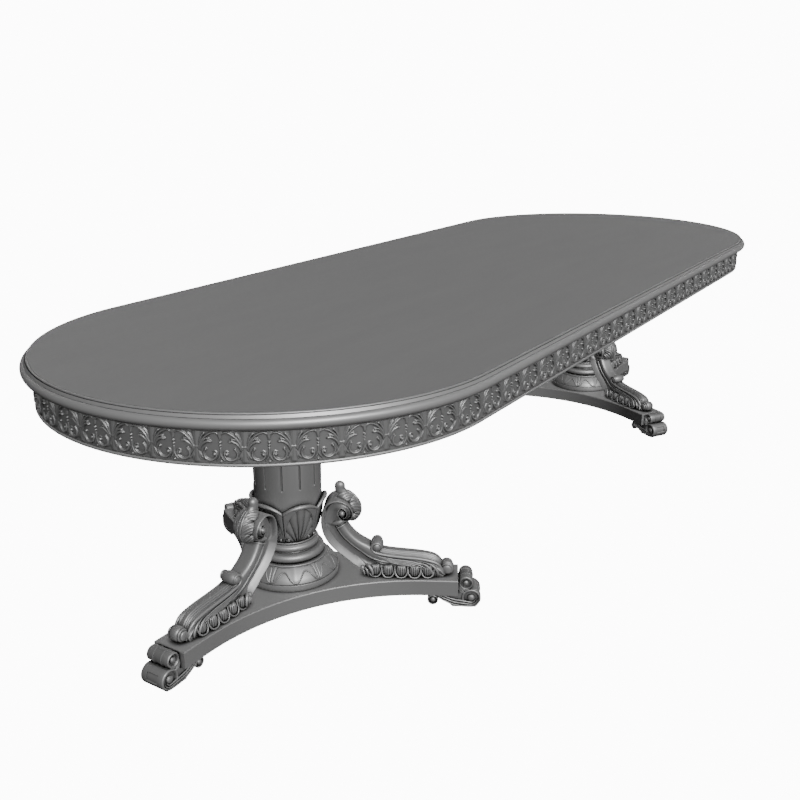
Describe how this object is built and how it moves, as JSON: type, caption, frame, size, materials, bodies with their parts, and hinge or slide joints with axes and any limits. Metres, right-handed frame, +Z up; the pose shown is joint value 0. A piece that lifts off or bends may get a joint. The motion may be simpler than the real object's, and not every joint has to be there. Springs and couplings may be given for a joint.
{
  "type": "oval double pedestal dining table",
  "caption": "Long dining table with round ends, a moulded edge and a carved frieze, standing on fluted columns with scroll brackets on three-armed platforms with scroll feet.",
  "frame": {"origin": "middle of the table on the floor", "axes": "+X along the length, +Y across toward the back, +Z up"},
  "size_m": [3.34, 1.24, 0.76],
  "materials": {
    "top_wood": "grey paint, satin",
    "moulding_wood": "grey paint, satin",
    "frieze_wood": "grey paint, satin",
    "pedestal_wood": "grey paint, satin",
    "inner_wood": "bare, sawn",
    "steel": "zinc plated"
  },
  "bodies": {
    "root": {"bearer_left_inner": "inner_wood", "bearer_left_outer": "inner_wood", "bearer_middle": "inner_wood", "bearer_right_inner": "inner_wood", "bearer_right_outer": "inner_wood", "bracket_screws": "steel", "dowels": "inner_wood", "edge_moulding_back": "moulding_wood", "edge_moulding_front": "moulding_wood", "edge_moulding_left_end": "moulding_wood", "edge_moulding_right_end": "moulding_wood", "frieze_bead_back": "frieze_wood", "frieze_bead_front": "frieze_wood", "frieze_bead_left_end": "frieze_wood", "frieze_bead_right_end": "frieze_wood", "frieze_carving_back": "frieze_wood", "frieze_carving_front": "frieze_wood", "frieze_carving_left_end": "frieze_wood", "frieze_carving_right_end": "frieze_wood", "frieze_rail_back": "frieze_wood", "frieze_rail_front": "frieze_wood", "frieze_rail_left_end": "frieze_wood", "frieze_rail_right_end": "frieze_wood", "glue_blocks": "inner_wood", "left_base_turning": "pedestal_wood", "left_bracket_back": "pedestal_wood", "left_bracket_front": "pedestal_wood", "left_bracket_outer": "pedestal_wood", "left_column_shaft": "pedestal_wood", "left_foot_back": "pedestal_wood", "left_foot_front": "pedestal_wood", "left_foot_outer": "pedestal_wood", "left_leaf_cup": "pedestal_wood", "left_leaf_ring": "pedestal_wood", "left_platform": "pedestal_wood", "left_plinth_disc": "pedestal_wood", "left_top_block": "inner_wood", "right_base_turning": "pedestal_wood", "right_bracket_back": "pedestal_wood", "right_bracket_front": "pedestal_wood", "right_bracket_outer": "pedestal_wood", "right_column_shaft": "pedestal_wood", "right_foot_back": "pedestal_wood", "right_foot_front": "pedestal_wood", "right_foot_outer": "pedestal_wood", "right_leaf_cup": "pedestal_wood", "right_leaf_ring": "pedestal_wood", "right_platform": "pedestal_wood", "right_plinth_disc": "pedestal_wood", "right_top_block": "inner_wood", "tie_bolts": "steel", "tie_nuts": "steel", "tie_washers": "steel", "top_panel": "top_wood", "wood_screws": "steel"}
  },
  "joints": []
}
